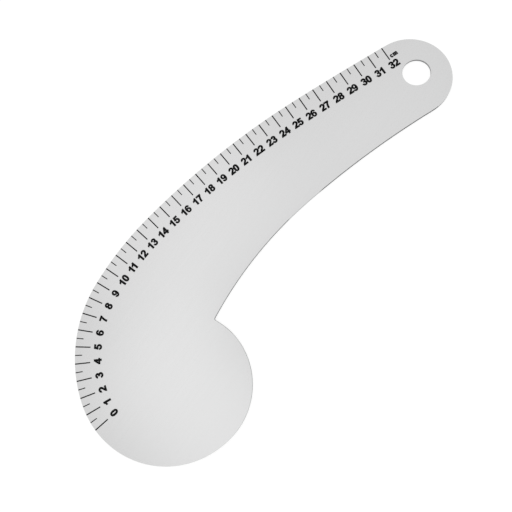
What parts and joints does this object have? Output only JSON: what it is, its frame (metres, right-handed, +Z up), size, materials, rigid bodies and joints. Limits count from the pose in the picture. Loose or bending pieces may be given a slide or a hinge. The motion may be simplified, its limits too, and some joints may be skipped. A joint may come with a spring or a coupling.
{
  "type": "curve ruler",
  "caption": "Flat aluminium curve ruler with a round head, a long curved arm and a hang hole, its convex edge graduated in centimetres and half centimetres.",
  "frame": {"origin": "middle of the ruler's box, on its underside", "axes": "+X from the centre of the round head to the centre of the tip, +Y towards the graduated edge, +Z up out of the printed face"},
  "size_m": [0.3082, 0.1224, 0.0015],
  "materials": {
    "sheet": "satin anodised",
    "enamel": "black enamel, semi-matt"
  },
  "bodies": {
    "root": {"ruler_sheet": "sheet", "cm_line_00": "enamel", "cm_line_01": "enamel", "cm_line_02": "enamel", "cm_line_03": "enamel", "cm_line_04": "enamel", "cm_line_05": "enamel", "cm_line_06": "enamel", "cm_line_07": "enamel", "cm_line_08": "enamel", "cm_line_09": "enamel", "cm_line_10": "enamel", "cm_line_11": "enamel", "cm_line_12": "enamel", "cm_line_13": "enamel", "cm_line_14": "enamel", "cm_line_15": "enamel", "cm_line_16": "enamel", "cm_line_17": "enamel", "cm_line_18": "enamel", "cm_line_19": "enamel", "cm_line_20": "enamel", "cm_line_21": "enamel", "cm_line_22": "enamel", "cm_line_23": "enamel", "cm_line_24": "enamel", "cm_line_25": "enamel", "cm_line_26": "enamel", "cm_line_27": "enamel", "cm_line_28": "enamel", "cm_line_29": "enamel", "cm_line_30": "enamel", "cm_line_31": "enamel", "cm_line_32": "enamel"}
  },
  "joints": []
}
